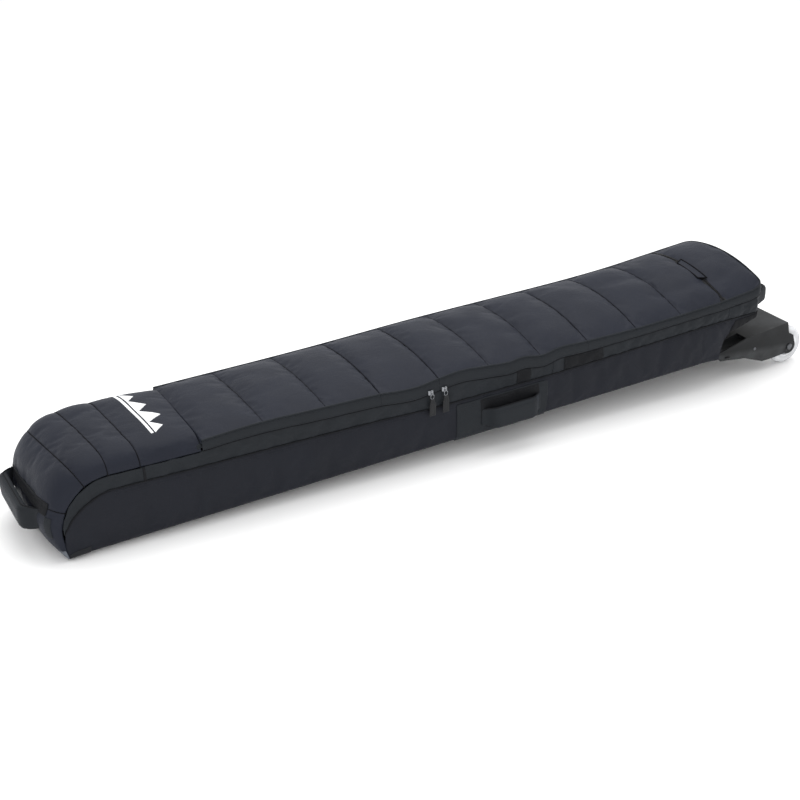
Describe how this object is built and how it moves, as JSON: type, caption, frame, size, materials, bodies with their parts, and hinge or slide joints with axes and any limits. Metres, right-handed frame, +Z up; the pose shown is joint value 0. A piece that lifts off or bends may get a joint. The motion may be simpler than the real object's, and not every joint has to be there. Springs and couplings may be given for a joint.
{
  "type": "wheeled ski bag",
  "caption": "Long padded wheeled ski bag with rounded quilted nose, fold-back quilted lid zipped round the sides, grab handles and a tail chassis with skate wheels.",
  "frame": {"origin": "under the centre of the bag's box, on the floor it stands on with its nose and its two wheels", "axes": "+X runs from the nose to the wheels, -Y is the side with the zip sliders, +Z is up; the bag leans 2.3 degrees up towards the wheels"},
  "size_m": [1.9928, 0.3418, 0.2766],
  "materials": {
    "lid_fabric": "matt woven nylon with a faint sheen, quilted",
    "side_fabric": "matt coated polyester, lightly creased",
    "gusset_fabric": "matt woven polyester",
    "base_tarpaulin": "coated tarpaulin, slightly glossy",
    "webbing": "ribbed polypropylene webbing",
    "zip_tape": "woven zip tape with a nylon coil",
    "floor_foam": "foam faced with grey lining cloth",
    "moulded_plastic": "lightly textured moulded nylon",
    "zip_metal": "polished nickel plate",
    "steel": "zinc-plated steel",
    "wheel_urethane": "milky translucent urethane",
    "wheel_core": "white moulded nylon",
    "printed_mark": "flat white print"
  },
  "bodies": {
    "tub": {"bottom_panel": "base_tarpaulin", "side_panel_front": "side_fabric", "side_panel_back": "side_fabric", "gusset_front": "gusset_fabric", "gusset_back": "gusset_fabric", "gusset_tail": "gusset_fabric", "nose_panel": "lid_fabric", "tail_panel": "side_fabric", "tail_plate": "moulded_plastic", "zip_tape_front": "zip_tape", "zip_tape_back": "zip_tape", "zip_tape_tail": "zip_tape", "floor_pad": "floor_foam", "ski_strap_1": "webbing", "ski_strap_2": "webbing", "buckle_socket_1": "moulded_plastic", "buckle_socket_2": "moulded_plastic", "buckle_clip_1": "moulded_plastic", "buckle_clip_2": "moulded_plastic", "carry_band": "webbing", "nose_patch": "printed_mark", "wheel_chassis": "moulded_plastic", "chassis_screw_1": "steel", "chassis_screw_2": "steel", "chassis_screw_3": "steel", "chassis_screw_4": "steel", "axle_bolt_front": "steel", "axle_bolt_back": "steel", "axle_nut_front": "steel", "axle_nut_back": "steel"},
    "lid_leaf_1": {"lid_panel_1": "lid_fabric", "storm_flap_front_1": "gusset_fabric", "storm_flap_back_1": "gusset_fabric"},
    "lid_leaf_2": {"lid_panel_2": "lid_fabric", "storm_flap_front_2": "gusset_fabric", "storm_flap_back_2": "gusset_fabric"},
    "lid_leaf_3": {"lid_panel_3": "lid_fabric", "storm_flap_front_3": "gusset_fabric", "storm_flap_back_3": "gusset_fabric", "storm_flap_tail": "gusset_fabric", "pocket_cover": "lid_fabric", "pocket_zip_tape": "zip_tape", "pocket_zip_hood": "gusset_fabric"},
    "slider_1": {"zip_slider_1": "zip_metal"},
    "pull_1": {"zip_pull_1": "webbing"},
    "slider_2": {"zip_slider_2": "zip_metal"},
    "pull_2": {"zip_pull_2": "webbing"},
    "pocket_zip": {"pocket_slider": "zip_metal"},
    "handle_front": {"side_handle_front": "webbing"},
    "handle_back": {"side_handle_back": "webbing"},
    "handle_nose": {"nose_handle": "webbing"},
    "handle_tail": {"tail_handle": "webbing"},
    "wheel_front": {"wheel_tyre_front": "wheel_urethane", "wheel_hub_front": "wheel_core", "bearing_outer_front": "steel", "bearing_inner_front": "steel"},
    "wheel_back": {"wheel_tyre_back": "wheel_urethane", "wheel_hub_back": "wheel_core", "bearing_outer_back": "steel", "bearing_inner_back": "steel"}
  },
  "joints": [
    {"name": "lid_fold_1", "type": "hinge", "parent": "tub", "child": "lid_leaf_1", "pos_m": [-0.64614, 0, 0.20419], "axis": [0, -1, 0], "range_deg": [0, 100]},
    {"name": "lid_fold_2", "type": "hinge", "parent": "lid_leaf_1", "child": "lid_leaf_2", "pos_m": [-0.24248, 0, 0.22067], "axis": [0, -1, 0], "range_deg": [0, 40]},
    {"name": "lid_fold_3", "type": "hinge", "parent": "lid_leaf_2", "child": "lid_leaf_3", "pos_m": [0.29307, 0, 0.24252], "axis": [0, -1, 0], "range_deg": [0, 40]},
    {"name": "zip_slide_1", "type": "slide", "parent": "tub", "child": "slider_1", "axis": [-0.9992, 0, -0.0408], "range_m": [0, 0.5]},
    {"name": "zip_slide_2", "type": "slide", "parent": "tub", "child": "slider_2", "axis": [0.9992, 0, 0.0408], "range_m": [0, 0.88]},
    {"name": "zip_pull_swing_1", "type": "hinge", "parent": "slider_1", "child": "pull_1", "pos_m": [-0.1195, -0.1515, 0.17464], "axis": [-0.9992, 0, -0.0408], "range_deg": [0, 150]},
    {"name": "zip_pull_swing_2", "type": "hinge", "parent": "slider_2", "child": "pull_2", "pos_m": [-0.08553, -0.1515, 0.17603], "axis": [-0.9992, 0, -0.0408], "range_deg": [0, 150]},
    {"name": "pocket_zip_slide", "type": "slide", "parent": "lid_leaf_3", "child": "pocket_zip", "axis": [0, 1, 0], "range_m": [-0.075, 0.11]},
    {"name": "side_handle_front_swing", "type": "hinge", "parent": "tub", "child": "handle_front", "pos_m": [0.08788, -0.1449, 0.09603], "axis": [0.9992, 0, 0.0408], "range_deg": [-28, 28]},
    {"name": "side_handle_back_swing", "type": "hinge", "parent": "tub", "child": "handle_back", "pos_m": [0.08788, 0.1449, 0.09603], "axis": [0.9992, 0, 0.0408], "range_deg": [-28, 28]},
    {"name": "nose_handle_swing", "type": "hinge", "parent": "tub", "child": "handle_nose", "pos_m": [-0.94957, 0, 0.08572], "axis": [0, 1, 0], "range_deg": [-28, 28]},
    {"name": "tail_handle_swing", "type": "hinge", "parent": "tub", "child": "handle_tail", "pos_m": [0.81741, 0, 0.19586], "axis": [0, 1, 0], "range_deg": [-28, 28]},
    {"name": "wheel_spin_front", "type": "hinge", "parent": "tub", "child": "wheel_front", "pos_m": [0.94647, -0.106, 0.05], "axis": [0, 1, 0], "continuous": true},
    {"name": "wheel_spin_back", "type": "hinge", "parent": "tub", "child": "wheel_back", "pos_m": [0.94647, 0.106, 0.05], "axis": [0, 1, 0], "continuous": true}
  ]
}
